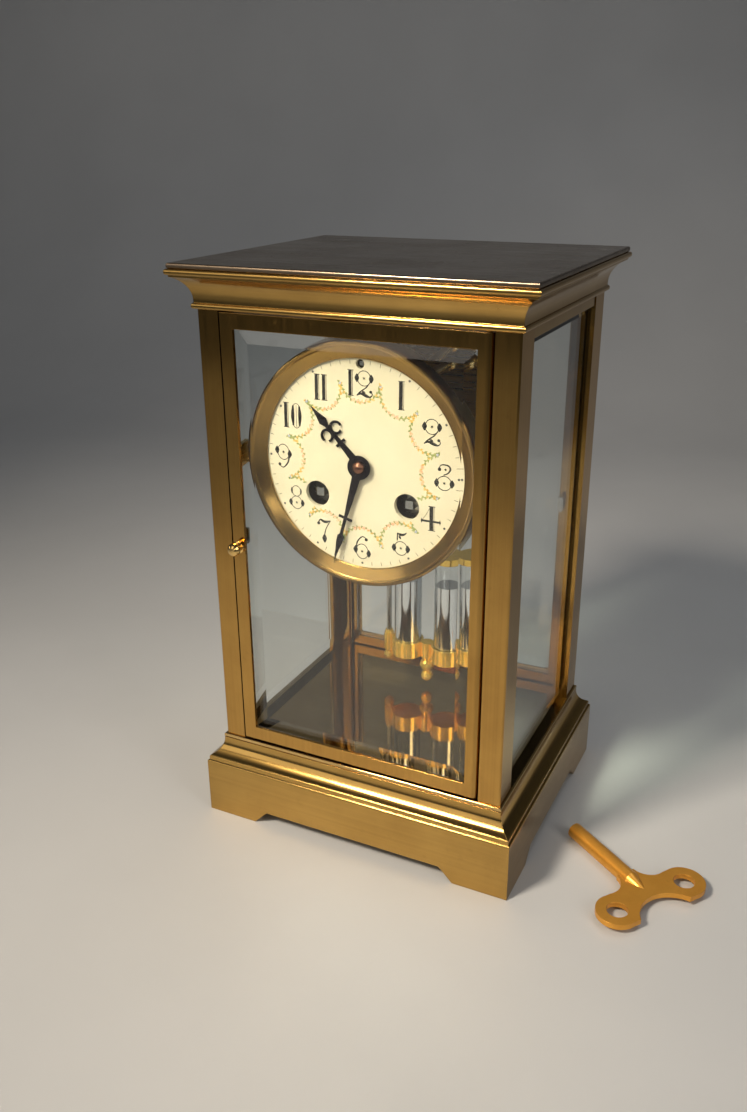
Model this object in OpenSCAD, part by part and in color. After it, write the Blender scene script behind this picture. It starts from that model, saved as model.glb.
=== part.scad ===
// Four-glass mantel clock with an eight-day striking movement and a two-jar mercury pendulum.
// Millimetres, +Z up, front towards -Y, origin at the middle of the base where it rests.

/* [Case] */
// Overall height, resting face to top plate
case_h = 255; // [235:1:280]
// Width over the corner pillars
frame_w = 135.4; // [130:0.2:150]
// Depth over the corner pillars
frame_d = 113; // [113:0.5:130]
// Height of the polished floor inside the case
floor_z = 40.4; // [36:0.2:46]
// Height of the cornice and top plate together
crown_h = 18.1; // [16:0.1:24]
// Depth of the cut-outs between the bracket feet
foot_h = 6.6; // [3:0.2:9]

/* [Pillars and doors] */
// Width of a pillar seen from the front
pillar_w = 9.8; // [9.4:0.1:11]
// Depth of a pillar seen from the side
pillar_d = 14; // [13:0.5:18]
// Thickness of a door frame
door_t = 5; // [4.6:0.1:5.4]
// Width of a door stile
stile_w = 5.8; // [5.4:0.1:7]
// Width of a door rail
rail_w = 6.3; // [5:0.1:9]
// Thickness of the glass
glass_t = 3; // [2:0.2:3]
// Width of the bevel round each glass
bevel_w = 7.2; // [4:0.2:9]
// Height of the catch knobs
knob_z = 137; // [110:1:160]

/* [Dial and hands] */
// Height of the dial centre
dial_z = 177.5; // [174:0.5:181]
// Outer radius of the bezel
bezel_r = 50.5; // [49:0.1:51]
// Radius of the dial that shows inside the bezel
dial_r = 43.5; // [43:0.1:44.5]
// Radius of the winding holes
winding_hole_r = 5.4; // [4.5:0.1:6]
// Angle of the minute hand, clockwise from twelve
minute_angle = 196; // [0:1:359]
// Angle of the hour hand, clockwise from twelve
hour_angle = 316; // [0:1:359]

/* [Pendulum] */
// Distance of the pendulum plane behind the middle of the case
pendulum_y = 25; // [24.6:0.1:25.4]
// Height of the bend of the suspension spring
pivot_z = 208.5; // [208:0.1:209]
// Sideways distance of the side rods
rod_x = 21; // [19:0.5:24]
// Sideways distance of the mercury jars
jar_x = 10.6; // [9:0.2:11]
// Outer radius of a mercury jar
jar_r = 6.8; // [6:0.1:7.4]
// Height of the mercury surface
mercury_z = 99; // [80:0.5:105]

/* [Winding key] */
// Length of the key from the middle of its bow to its tip
key_len = 51; // [40:1:60]
// Turn of the key on the table, degrees from +X
key_turn = 144; // [130:1:155]

/* [Hidden] */
$fn = 64;
run_gap = 0.05;      // radial clearance of a shaft in its hole
brass = "goldenrod";
dark_brass = "darkgoldenrod";
steel = "silver";
blued = "midnightblue";
pane = [0.75, 0.88, 0.86, 0.4];

// Case
half_w = frame_w / 2;
half_d = frame_d / 2;
frame_top = case_h - crown_h;
plinth_top = floor_z - 2;
band_top = 27.6;
band_out = 7.3;
shelf_z = 28;
front_cut = 50;
side_cut = 38.5;
foot_slope = 6.4;
lip_out = 8.5;
top_t = 2.2;
screw_r = 1.3;
screw_head_r = 2.4;
screw_in = 4.5;
door_rebate = door_t + 0.9;
pillar_lip = 1.6;
pillar_lip_t = 2.1;
corner_t = 5.5;
pane_lip = 2.9;
pane_start = door_rebate + pillar_lip_t + 3.1;

// Doors, drawn for the front and turned half round for the rear
door_half = half_w - pillar_w - 0.6;
door_z0 = floor_z + 0.8;
door_z1 = frame_top - 0.7;
edge_r = door_t / 2;
hinge_x = door_half - edge_r;
hinge_y = -half_d + edge_r;
hinge_pin_r = 1.2;
hinge_pin_in = 3.6;
open_half = door_half - stile_w;
latch_x = -door_half + stile_w / 2;
glass_hold = 1.5;
catch_r = 1;
glass_edge_t = 1.4;

// Dial train; positions are [x, z] from the dial centre, seen from the front
dial_y = -45.6;
dial_back = -44;
dial_dome = 0.6;
dial_rim = dial_r + 1.8;
winding = [20.2, -14.2];
rate_z = 41.2;
front_plate_y = -36.5;
back_plate_y = 4;
plate_t = 2;
plate_r = 41.5;
plate_in = front_plate_y + plate_t;
shaft_r = 0.9;

great_n = 60;
great_m = 0.52;
int_pinion_n = 10;
int_n = 60;
int_m = 0.42;
centre_pinion_n = 10;
centre_n = 72;
centre_m = 0.31;
third_pinion_n = 6;
third_n = 66;
third_m = 0.29;
escape_pinion_n = 6;
escape_n = 40;
cannon_n = 12;
minute_n = 36;
motion_m = 0.4;
minute_pinion_n = 10;
hour_n = 40;
pin_pinion_n = 8;
pin_n = 60;
pin_m = 0.34;
warning_pinion_n = 6;
warning_n = 54;
warning_m = 0.3;
fly_pinion_n = 6;

function polar(c, d, a) = [c.x + d * cos(a), c.y + d * sin(a)];
function bearing(a, b) = atan2(b.y - a.y, b.x - a.x);
function apart(na, nb, m) = m * (na + nb) / 2;
// Turn of wheel b that puts a gap where wheel a, turned by ta, has a tooth
function mate(dir, ta, na, nb) = dir + 180 - (360 / nb) * (0.5 - (dir - ta) / (360 / na));
// Angle at the first corner of a triangle with sides b and c beside it and a opposite
function corner(a, b, c) = acos((b * b + c * c - a * a) / (2 * b * c));

centre_p = [0, 0];
great_p = winding;
strike_p = [-winding.x, winding.y];
int_arm = apart(int_n, centre_pinion_n, int_m);
int_turn = corner(apart(great_n, int_pinion_n, great_m), norm(great_p), int_arm);
int_p = polar(centre_p, int_arm, bearing(centre_p, great_p) + int_turn);
escape_p = [0, 20];
third_arm = apart(centre_n, third_pinion_n, centre_m);
third_turn = corner(apart(third_n, escape_pinion_n, third_m), norm(escape_p), third_arm);
third_p = polar(centre_p, third_arm, 90 + third_turn);
pallet_p = [0, pivot_z - dial_z];
minute_p = [0, -apart(cannon_n, minute_n, motion_m)];
hour_m = 2 * norm(minute_p) / (minute_pinion_n + hour_n);
second_p = polar(strike_p, apart(great_n, int_pinion_n, great_m), 85);
pin_p = polar(second_p, apart(int_n, pin_pinion_n, int_m), 105);
warning_p = polar(pin_p, apart(pin_n, warning_pinion_n, pin_m), 20);
fly_p = polar(warning_p, apart(warning_n, fly_pinion_n, warning_m), 62);
hammer_p = [-34.4, 15.4];
post_ps = [[36, 6.4], [-36, 6.4], [18, 33.5], [-18, 33.5], [0, -37]];

int_pinion_t = mate(bearing(great_p, int_p), 0, great_n, int_pinion_n);
centre_pinion_t = mate(bearing(int_p, centre_p), 0, int_n, centre_pinion_n);
third_pinion_t = mate(bearing(centre_p, third_p), 0, centre_n, third_pinion_n);
escape_pinion_t = mate(bearing(third_p, escape_p), 0, third_n, escape_pinion_n);
minute_wheel_t = mate(-90, 0, cannon_n, minute_n);
hour_wheel_t = mate(90, 0, minute_pinion_n, hour_n);
second_pinion_t = mate(bearing(strike_p, second_p), 0, great_n, int_pinion_n);
pin_pinion_t = mate(bearing(second_p, pin_p), 0, int_n, pin_pinion_n);
warning_pinion_t = mate(bearing(pin_p, warning_p), 0, pin_n, warning_pinion_n);
fly_pinion_t = mate(bearing(warning_p, fly_p), 0, warning_n, fly_pinion_n);

// Depth of each wheel behind the front of the case, from the front plate to the back plate
great_y = -32.6;
drum_y0 = -30.8;
drum_y1 = -10.5;
drum_r = 14.2;
int_y = -5.8;
centre_y = -2.6;
third_y = -26;
escape_y = -22.2;
second_y = -9;
pin_y = -13.6;
warning_y = -19.6;
wheel_t = 1.1;

// Pendulum
plate_bottom_z = 57.6;
plate_h = 8.2;
cup_wall = 1.1;
rods_top_z = 111.5;
bell_r = 27;
bell_rim_y = 31;
bell_back_y = 46;

// Winding key
key_r = 3.6;
key_bow_t = 2.4;
key_bow_x = 130.3;
key_bow_y = -39.8;
ear_r = 9;
ear_out = 18.3;
ear_hole_r = 4.5;
square_w = 3.4;

// ---- helpers ----

// Plate cut from a front view (x, z) outline, from depth y0 back to y1
module plate(y0, y1) {
    translate([0, y1, 0]) rotate([90, 0, 0]) linear_extrude(y1 - y0) children();
}

// Round bar along Y
module bar(r, y0, y1) {
    translate([0, y0, 0]) rotate([-90, 0, 0]) cylinder(r = r, h = y1 - y0);
}

// Turned piece along Y from a (radius, depth) outline
module turned() {
    rotate([-90, 0, 0]) rotate_extrude() children();
}

// Place something at a dial train position
module at(p) {
    translate([p.x, 0, dial_z + p.y]) children();
}

// Section of a strip with rounded outer corners, reaching outwards from the case's middle
module lip(inner, out, z0, z1, r) {
    translate([-inner, z0]) square([inner + out - r, z1 - z0]);
    translate([-inner, z0 + r]) square([inner + out, z1 - z0 - 2 * r]);
    for (z = [z0 + r, z1 - r]) translate([out - r, z]) circle(r);
}

// Solid whose four sides follow one moulding section, mitred at the corners.
// The child is drawn as (overhang, z) for a given half size.
module mitred(hw, hd) {
    intersection() {
        rotate([90, 0, 0]) linear_extrude(3 * hd, center = true)
            for (s = [0, 1]) mirror([s, 0]) translate([hw, 0]) children(0);
        rotate([90, 0, 90]) linear_extrude(3 * hw, center = true)
            for (s = [0, 1]) mirror([s, 0]) translate([hd, 0]) children(1);
    }
}

module box(x0, x1, y0, y1, z0, z1) {
    translate([x0, y0, z0]) cube([x1 - x0, y1 - y0, z1 - z0]);
}

module half_turn() {
    rotate([0, 0, 180]) children();
}

// ---- case ----

module base_section(inner) {
    cove_dx = 5.1;
    cove_z0 = 29.8;
    cove_z1 = plinth_top - 0.6;
    cove_dz = cove_z1 - cove_z0;
    cove_r = (cove_dx * cove_dx + cove_dz * cove_dz) / (2 * cove_dx);
    translate([-inner, 0]) square([inner + band_out, band_top - 1]);
    lip(inner, band_out, band_top - 4, band_top, 0.9);
    lip(inner, 6.5, band_top - 1.8, cove_z0, 0.8);
    difference() {
        translate([-inner, cove_z0 - 1]) square([inner + 0.9 + cove_dx, plinth_top - cove_z0 + 1]);
        translate([0.9 + cove_r, cove_z1]) circle(cove_r, $fn = 128);
        translate([0.9, cove_z1]) square([cove_r, 3]);
    }
}

module foot_cut(half, reach) {
    rotate([90, 0, 0]) linear_extrude(reach, center = true) polygon([
        [-half, -1], [half, -1], [half, 0], [half - foot_slope, foot_h],
        [foot_slope - half, foot_h], [-half, 0]
    ]);
}

module at_case_corners(inset) {
    for (sx = [-1, 1], sy = [-1, 1]) translate([sx * (half_w - inset), sy * (half_d - inset), 0]) children();
}

module hinge_points() {
    for (s = [0, 180]) rotate([0, 0, s]) translate([hinge_x, hinge_y, 0]) children();
}

module base_plinth() color(brass) difference() {
    mitred(half_w, half_d) {
        base_section(half_w);
        base_section(half_d);
    }
    box(-half_w - 1.3, half_w + 1.3, -half_d - 1.3, half_d + 1.3, -1, shelf_z);
    box(-50, 50, -40, 40, shelf_z - 1, case_h);
    foot_cut(front_cut, 3 * half_d);
    rotate([0, 0, 90]) foot_cut(side_cut, 3 * half_w);
    at_case_corners(screw_in) cylinder(r = screw_r + 0.1, h = case_h);
    hinge_points() translate([0, 0, plinth_top - 1.7]) cylinder(r = hinge_pin_r + run_gap, h = 5);
}

module floor_plate() color(brass) difference() {
    mitred(half_w, half_d) {
        lip(half_w, 1, plinth_top, floor_z, 0.7);
        lip(half_d, 1, plinth_top, floor_z, 0.7);
    }
    at_case_corners(screw_in) cylinder(r = screw_r + 0.1, h = case_h);
    hinge_points() cylinder(r = hinge_pin_r + run_gap, h = case_h);
}

module case_screws() color(steel) {
    at_case_corners(screw_in) {
        translate([0, 0, shelf_z - 2]) cylinder(r = screw_head_r, h = 2);
        translate([0, 0, shelf_z - 0.1]) cylinder(r = screw_r, h = floor_z + 8 - shelf_z);
        translate([0, 0, frame_top + 8]) cylinder(r = screw_head_r, h = 2);
        translate([0, 0, frame_top - 8]) cylinder(r = screw_r, h = 16.1);
    }
}

// Front right pillar; u runs inwards from the outer corner along X, v along Y
module pillar_section() {
    chamfer = 0.6;
    polygon([
        [chamfer, 0], [pillar_w, 0], [pillar_w, door_rebate],
        [pillar_w + pillar_lip, door_rebate], [pillar_w + pillar_lip, door_rebate + pillar_lip_t],
        [corner_t, door_rebate + pillar_lip_t], [corner_t, pane_start - 0.2],
        [pane_lip, pane_start - 0.2], [pane_lip, pillar_d], [0, pillar_d], [0, chamfer]
    ]);
}

module pillar(sx, sy) {
    color(brass) difference() {
        scale([sx, sy, 1]) translate([half_w, -half_d, floor_z]) mirror([1, 0, 0])
            linear_extrude(frame_top - floor_z) pillar_section();
        at_case_corners(screw_in) {
            translate([0, 0, floor_z - 1]) cylinder(r = screw_r, h = 9.5);
            translate([0, 0, frame_top - 8.5]) cylinder(r = screw_r, h = 9.5);
        }
        if (sy > 0) bracket_screw_holes();
    }
}

module pillar_front_left() pillar(-1, 1);
module pillar_front_right() pillar(1, 1);
module pillar_rear_left() pillar(-1, -1);
module pillar_rear_right() pillar(1, -1);

// Bevelled pane standing in the XZ plane, front face at y = 0, its back at y = t
module bevelled_pane(w, z0, z1, t) {
    edge = glass_edge_t;
    intersection() {
        translate([0, 0, z0]) linear_extrude(z1 - z0) polygon([
            [-w, t - edge], [-w + bevel_w, 0], [w - bevel_w, 0], [w, t - edge], [w, t], [-w, t]
        ]);
        rotate([90, 0, 90]) linear_extrude(3 * w, center = true) polygon([
            [t - edge, z0], [0, z0 + bevel_w], [0, z1 - bevel_w], [t - edge, z1], [t, z1], [t, z0]
        ]);
    }
}

module side_glass(s) {
    color(pane) rotate([0, 0, s * 90]) translate([0, -half_w + pane_lip + 0.1, 0])
        bevelled_pane(half_d - pane_start - 0.1, floor_z, frame_top - 0.2, glass_t);
}

module side_glass_left() side_glass(-1);
module side_glass_right() side_glass(1);

module cornice_section(inner) {
    cove_dx = 6.2;
    cove_z0 = frame_top + 3.4;
    cove_z1 = case_h - top_t - 3.2;
    cove_dz = cove_z1 - cove_z0;
    cove_r = (cove_dx * cove_dx + cove_dz * cove_dz) / (2 * cove_dx);
    lip(inner, 1.6, frame_top, frame_top + 2.4, 1);
    translate([-inner, frame_top + 1]) square([inner + 0.8, 3]);
    difference() {
        translate([-inner, cove_z0 - 0.4]) square([inner + 0.8 + cove_dx, cove_dz + 0.4]);
        translate([0.8 + cove_r, cove_z0]) circle(cove_r, $fn = 128);
        translate([0.8, cove_z0 - 2]) square([cove_r, 2]);
    }
    translate([-inner, cove_z1 - 0.01]) square([inner + 7.3, 1]);
    lip(inner, lip_out, case_h - top_t - 2.4, case_h - top_t, 1);
}

module cornice() color(brass) {
    difference() {
        mitred(half_w, half_d) {
            cornice_section(half_w);
            cornice_section(half_d);
        }
        box(-50, 50, -46, 46, frame_top - 1, case_h);
        at_case_corners(screw_in) {
            cylinder(r = screw_r + 0.1, h = case_h);
            translate([0, 0, frame_top + 8]) cylinder(r = screw_head_r + 0.2, h = crown_h);
        }
        hinge_points() translate([0, 0, frame_top - 1]) cylinder(r = hinge_pin_r + run_gap, h = 5.2);
    }
    for (s = [0, 180]) rotate([0, 0, s])
        box(half_w - 2.8, half_w - 0.4, -half_d + pillar_d + 0.1, half_d - pillar_d - 0.1,
            frame_top - 4.4, frame_top + 0.5);
}

module top_plate() color(dark_brass)
    mitred(half_w, half_d) {
        lip(half_w, 7.7, case_h - top_t, case_h, 0.8);
        lip(half_d, 7.7, case_h - top_t, case_h, 0.8);
    }

// ---- doors ----

module door_frame() color(brass) difference() {
    union() {
        box(-door_half, hinge_x, -half_d, -half_d + door_t, door_z0, door_z1);
        translate([hinge_x, hinge_y, door_z0]) cylinder(r = edge_r, h = door_z1 - door_z0);
        translate([hinge_x, hinge_y, door_z0 - 2.4]) cylinder(r = hinge_pin_r, h = 4);
        translate([hinge_x, hinge_y, door_z1 - 2]) cylinder(r = hinge_pin_r, h = 2 + hinge_pin_in);
    }
    box(-open_half, open_half, -half_d - 1, half_d, door_z0 + rail_w, door_z1 - rail_w);
    box(-open_half - glass_hold - 0.1, open_half + glass_hold + 0.1, -half_d + 1.5, half_d,
        door_z0 + rail_w - glass_hold - 0.1, door_z1 - rail_w + glass_hold + 0.1);
    translate([latch_x, 0, knob_z]) bar(catch_r + run_gap, -half_d - 1, 0);
}

module door_glass() color(pane) translate([0, -half_d + 1.6, 0])
    bevelled_pane(open_half + glass_hold, door_z0 + rail_w - glass_hold,
                  door_z1 - rail_w + glass_hold, glass_t);

module catch_knob() color(brass) translate([latch_x, -half_d - 0.1, knob_z]) turned() polygon([
    [0, -6.2], [1.4, -6.05], [2.3, -5.5], [2.85, -4.6], [2.95, -3.6], [2.6, -2.7], [1.7, -2],
    [1.5, -1.5], [2.7, -1.1], [2.7, 0], [0, 0]
]);

module catch_tongue() color(steel) translate([latch_x, 0, knob_z]) {
    bar(catch_r, -half_d - 0.1, -46.9);
    plate(-48.3, -46.9) {
        circle(1.3);
        translate([-1.3, 0]) square([2.6, 6]);
    }
}

module front_door_frame() door_frame();
module front_door_glass() door_glass();
module front_catch_knob() catch_knob();
module front_catch_tongue() catch_tongue();
module rear_door_frame() half_turn() door_frame();
module rear_door_glass() half_turn() door_glass();
module rear_catch_knob() half_turn() catch_knob();
module rear_catch_tongue() half_turn() catch_tongue();

// ---- dial and hands ----

module dial_bezel() color(brass) at(centre_p) turned() polygon([
    [dial_r, -46.1], [dial_r, -46.6], [dial_r + 0.5, -46.9], [dial_r + 4.6, -48.9],
    [dial_r + 5.2, -49.5], [dial_r + 6, -49.7], [bezel_r - 0.4, -49.4], [bezel_r, -48.8],
    [bezel_r, -42.6], [dial_rim + 1, -42.6], [dial_rim + 1, -38.8], [dial_r, -38.8],
    [dial_r, -43.8], [dial_rim + 0.1, -43.8], [dial_rim + 0.1, -46.1]
]);

module winding_holes(r) {
    for (s = [-1, 1]) translate([s * winding.x, winding.y]) circle(r);
}

module dial() color("ivory") at(centre_p) {
    difference() {
        turned() polygon([
            for (i = [0 : 4]) [dial_rim * i / 4, dial_y - dial_dome * (1 - pow(i / 4, 2))],
            [dial_rim, dial_back], [0, dial_back]
        ]);
        plate(-50, -40) {
            winding_holes(winding_hole_r);
            circle(3.2);
            translate([0, rate_z]) circle(1.8);
        }
    }
    for (a = [45, 135, 270]) rotate([0, -a, 0]) translate([33, 0, 0])
        bar(1.1, dial_back - 0.1, front_plate_y);
}

// Flat piece of the hour hand or of the minute hand, drawn pointing at twelve
module hour_leaf(extra = 0) {
    at(centre_p) plate(-47 - extra, -46.5 + extra) rotate(-hour_angle) children();
}

module minute_leaf(extra = 0) {
    at(centre_p) plate(-48.2 - extra, -47.7 + extra) rotate(-minute_angle) children();
}

module hour_hand() color(blued) difference() {
    union() {
        hour_leaf() circle(4);
        hour_leaf() polygon([[1.7, 2], [1.1, 11.5], [0.8, 15], [-0.8, 15], [-1.1, 11.5], [-1.7, 2]]);
        hour_leaf() translate([-2.4, 11.8]) square([4.8, 1.2]);
        for (s = [-1, 1]) hour_leaf() translate([s * 2.7, 18.3]) circle(2.9);
        hour_leaf() polygon([
            [0.8, 14], [0.8, 21.5], [1.9, 23.8], [0.9, 27], [0, 31.5],
            [-0.9, 27], [-1.9, 23.8], [-0.8, 21.5], [-0.8, 14]
        ]);
    }
    for (s = [-1, 1]) hour_leaf(1) translate([s * 2.8, 18.3]) {
        circle(1.9);
        translate([s > 0 ? 0.8 : -3, -2.6]) square([2.2, 1.9]);
    }
    hour_leaf(1) circle(2.65);
}

module minute_hand() color(blued) difference() {
    union() {
        minute_leaf() circle(5);
        minute_leaf() polygon([
            [1.9, 3], [1.3, 14], [0.65, 23.5], [0.65, 31], [1.5, 31.8], [1.3, 35], [0.5, 40], [0, 45],
            [-0.5, 40], [-1.3, 35], [-1.5, 31.8], [-0.65, 31], [-0.65, 23.5], [-1.3, 14], [-1.9, 3]
        ]);
        minute_leaf() translate([-3.1, 22.8]) square([6.2, 1]);
    }
    minute_leaf(1) circle(2);
}

module hand_collet() color(dark_brass) at(centre_p) turned() polygon([
    [0, -50.1], [1, -49.95], [1.9, -49.5], [2.5, -48.9], [2.7, -48.2], [0, -48.2]
]);

// ---- wheels ----

// Toothed outline; add and ded are in modules, the widths are shares of a tooth pitch
module gear(n, m, add = 0.8, ded = 1.3, tip = 0.2, root = 0.5) {
    pitch = 360 / n;
    r_tip = m * (n / 2 + add);
    r_root = m * (n / 2 - ded);
    polygon([for (i = [0 : n - 1], k = [0 : 3])
        let (a = i * pitch + [-root, -tip, tip, root][k] * pitch / 2,
             r = [r_root, r_tip, r_tip, r_root][k])
        [r * cos(a), r * sin(a)]]);
}

module pinion(n, m) {
    gear(n, m, add = 0.7, ded = 1.35, tip = 0.22, root = 0.5);
}

// Wheel with four crossings
module crossed(n, m, hub, turn = 0) {
    rim = m * n / 2 - 2.1;
    difference() {
        gear(n, m);
        difference() {
            circle(rim);
            circle(hub);
            for (a = [0, 90]) rotate(a + turn) square([3 * rim, 1.3], center = true);
        }
    }
}

module barrel() {
    plate(great_y, great_y + 1.7) difference() {
        gear(great_n, great_m);
        circle(2.4 + run_gap);
    }
    difference() {
        bar(drum_r, great_y + 1.6, drum_y1);
        bar(drum_r - 1.2, drum_y0 + 0.4, drum_y1 - 1.2);
        bar(2.4 + run_gap, great_y, drum_y1 + 1);
    }
}

module winding_arbor() {
    bar(2.4, front_plate_y - 2.1, drum_y1 + 0.6);
    bar(1.6, drum_y1 + 0.5, back_plate_y + plate_t);
    bar(3.4, drum_y0 + 1.4, drum_y1 - 2.2);
    plate(front_plate_y - 2.1, front_plate_y - 0.4) ratchet();
    translate([-square_w / 2, -43.6, -square_w / 2]) cube([square_w, 6, square_w]);
}

ratchet_n = 20;
ratchet_r = 6;
module ratchet() {
    polygon([for (i = [0 : ratchet_n - 1], k = [0, 1])
        let (a = -(i + k * 0.12) * 360 / ratchet_n, r = k == 0 ? ratchet_r : ratchet_r - 0.9)
        [r * cos(a), r * sin(a)]]);
}

module going_barrel() color(brass) at(great_p) barrel();
module strike_barrel() color(brass) at(strike_p) barrel();
module going_arbor() color(steel) at(great_p) winding_arbor();
module strike_arbor() color(steel) at(strike_p) winding_arbor();

module ratchet_clicks() color(steel) for (s = [-1, 1])
    at([s * winding.x, winding.y]) plate(front_plate_y - 2, front_plate_y)
        translate([0, -ratchet_r - 2.4]) {
            circle(1.6);
            polygon([[0, -1.2], [0, 1.2], [4.4, 3.2], [4.9, 2.6], [1.6, -0.8]]);
        }

module intermediate_wheel() color(brass) at(int_p) {
    plate(int_y, int_y + wheel_t) crossed(int_n, int_m, 3);
    plate(great_y - 0.3, great_y + 2) rotate(int_pinion_t) pinion(int_pinion_n, great_m);
    bar(shaft_r, front_plate_y, back_plate_y + plate_t);
}

module centre_wheel() color(brass) at(centre_p) {
    plate(centre_y, centre_y + wheel_t) crossed(centre_n, centre_m, 3);
    plate(int_y - 0.4, centre_y + 0.2) rotate(centre_pinion_t) pinion(centre_pinion_n, int_m);
    bar(1, -47.9, back_plate_y + plate_t);
}

module third_wheel() color(brass) at(third_p) {
    plate(third_y, third_y + wheel_t) crossed(third_n, third_m, 2.4);
    plate(centre_y - 0.6, centre_y + 1.8) rotate(third_pinion_t) pinion(third_pinion_n, centre_m);
    bar(0.5, front_plate_y, back_plate_y + plate_t);
}

escape_tip_r = 8;
module escape_wheel() color(brass) at(escape_p) {
    plate(escape_y, escape_y + wheel_t) difference() {
        polygon([for (i = [0 : escape_n - 1], k = [0, 1])
            let (a = (i + k * 0.3) * 360 / escape_n, r = k == 0 ? escape_tip_r : escape_tip_r - 1.3)
            [r * cos(a), r * sin(a)]]);
        difference() {
            circle(escape_tip_r - 2.4);
            circle(2);
            for (a = [45, 135]) rotate(a) square([20, 1.1], center = true);
        }
    }
    plate(third_y - 0.6, third_y + 1.8) rotate(escape_pinion_t) pinion(escape_pinion_n, third_m);
    bar(0.45, front_plate_y, back_plate_y + plate_t);
}

module cannon_pinion() color(steel) at(centre_p) difference() {
    union() {
        bar(1.9, -48.2, -37.2);
        plate(-38.9, -37.2) gear(cannon_n, motion_m, ded = 1.2);
    }
    bar(1 + run_gap, -60, 0);
}

module minute_wheel() color(brass) at(minute_p) {
    difference() {
        union() {
            plate(-38.6, -37.6) rotate(minute_wheel_t) crossed(minute_n, motion_m, 3);
            plate(-41.2, -38.5) pinion(minute_pinion_n, hour_m);
        }
        bar(0.9 + run_gap, -60, 0);
    }
}

module hour_wheel() color(brass) at(centre_p) difference() {
    union() {
        plate(-40.9, -39.9) rotate(hour_wheel_t) crossed(hour_n, hour_m, 4);
        bar(2.6, -47, -39.9);
    }
    bar(1.9 + run_gap, -60, 0);
}

// ---- striking ----

module strike_second_wheel() color(brass) at(second_p) {
    plate(second_y, second_y + wheel_t) crossed(int_n, int_m, 3, 45);
    plate(great_y - 0.3, great_y + 2) rotate(second_pinion_t) pinion(int_pinion_n, great_m);
    bar(shaft_r, front_plate_y, back_plate_y + plate_t);
}

module pin_wheel() color(brass) at(pin_p) {
    plate(pin_y, pin_y + wheel_t) crossed(pin_n, pin_m, 2.6);
    plate(second_y - 0.5, second_y + 1.7) rotate(pin_pinion_t) pinion(pin_pinion_n, int_m);
    for (i = [0 : 9]) rotate([0, i * 36, 0]) translate([pin_m * pin_n / 2 - 1.3, 0, 0])
        bar(0.4, pin_y - 2.4, pin_y + 0.5);
    bar(0.7, front_plate_y, back_plate_y + plate_t);
}

module warning_wheel() color(brass) at(warning_p) {
    plate(warning_y, warning_y + wheel_t) crossed(warning_n, warning_m, 2.2);
    plate(pin_y - 0.5, pin_y + 1.6) rotate(warning_pinion_t) pinion(warning_pinion_n, pin_m);
    bar(0.5, front_plate_y, back_plate_y + plate_t);
}

module fly() color(brass) at(fly_p) {
    plate(warning_y - 0.5, warning_y + 1.6) rotate(fly_pinion_t) pinion(fly_pinion_n, warning_m);
    plate(-14, -3) square([12.4, 0.4], center = true);
    bar(1, -14.4, -2.6);
    bar(0.45, front_plate_y, back_plate_y + plate_t);
}

module hammer() color(steel) {
    head = [-31.4, -3];
    at(hammer_p) bar(0.8, front_plate_y, 34);
    at(hammer_p) bar(1.6, 31.4, 33.8);
    along = bearing(hammer_p, head);
    reach = norm(head - hammer_p);
    at(hammer_p) plate(32, 33.2) rotate(along) translate([0, -0.7]) square([reach, 1.4]);
    at(head) translate([0, 32.6, 0]) rotate([0, 90, 0]) cylinder(r = 2.6, h = 5.6, center = true);
    at(hammer_p) plate(-16, -14.6) rotate(bearing(hammer_p, pin_p)) translate([0, -0.7]) square([2.2, 1.4]);
}

module bell() color(brass) at(centre_p) {
    depth = bell_back_y - bell_rim_y;
    ball_r = (bell_r * bell_r + depth * depth) / (2 * depth);
    difference() {
        translate([0, bell_back_y - ball_r, 0]) sphere(ball_r, $fn = 128);
        translate([0, bell_back_y - ball_r, 0]) sphere(ball_r - 1.3, $fn = 128);
        box(-50, 50, -50, bell_rim_y, -50, 50);
        bar(1.6, 0, 60);
    }
}

module bell_stand() color(dark_brass) {
    foot = [-14, -33.5];
    at(foot) bar(1.7, back_plate_y + plate_t, 30);
    at(foot) bar(3, back_plate_y + plate_t, back_plate_y + plate_t + 1.5);
    at(centre_p) plate(27.6, 30) {
        along = bearing(foot, centre_p);
        translate(foot) rotate(along) translate([0, -1.6]) square([norm(foot), 3.2]);
        translate(foot) circle(1.9);
        circle(2.6);
    }
    at(centre_p) bar(1.5, 29.9, bell_back_y + 3.2);
    at(centre_p) bar(3, bell_back_y - 3.6, bell_back_y - 1.6);
    at(centre_p) bar(3, bell_back_y + 0.05, bell_back_y + 2.4);
}

// ---- movement frame ----

module plate_outline(arbor_r) {
    difference() {
        union() {
            circle(plate_r);
            translate([0, rate_z]) circle(4);
        }
        circle(1 + run_gap);
        for (p = [int_p, second_p]) translate(p) circle(shaft_r + run_gap);
        for (p = [third_p, warning_p]) translate(p) circle(0.5 + run_gap);
        for (p = [escape_p, fly_p]) translate(p) circle(0.45 + run_gap);
        translate(pin_p) circle(0.7 + run_gap);
        for (p = [pallet_p, hammer_p]) translate(p) circle(0.8 + run_gap);
        translate([0, rate_z]) circle(1.2 + run_gap);
        winding_holes(arbor_r + run_gap);
    }
}

module movement_front_plate() color(brass) difference() {
    union() {
        at(centre_p) plate(front_plate_y, plate_in) plate_outline(2.4);
        at(minute_p) bar(0.9, -41.4, front_plate_y + 0.1);
    }
    bracket_plate_holes();
}

module movement_back_plate() color(brass) difference() {
    at(centre_p) plate(back_plate_y, back_plate_y + plate_t) plate_outline(1.6);
    cock_screw_holes();
}

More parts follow.
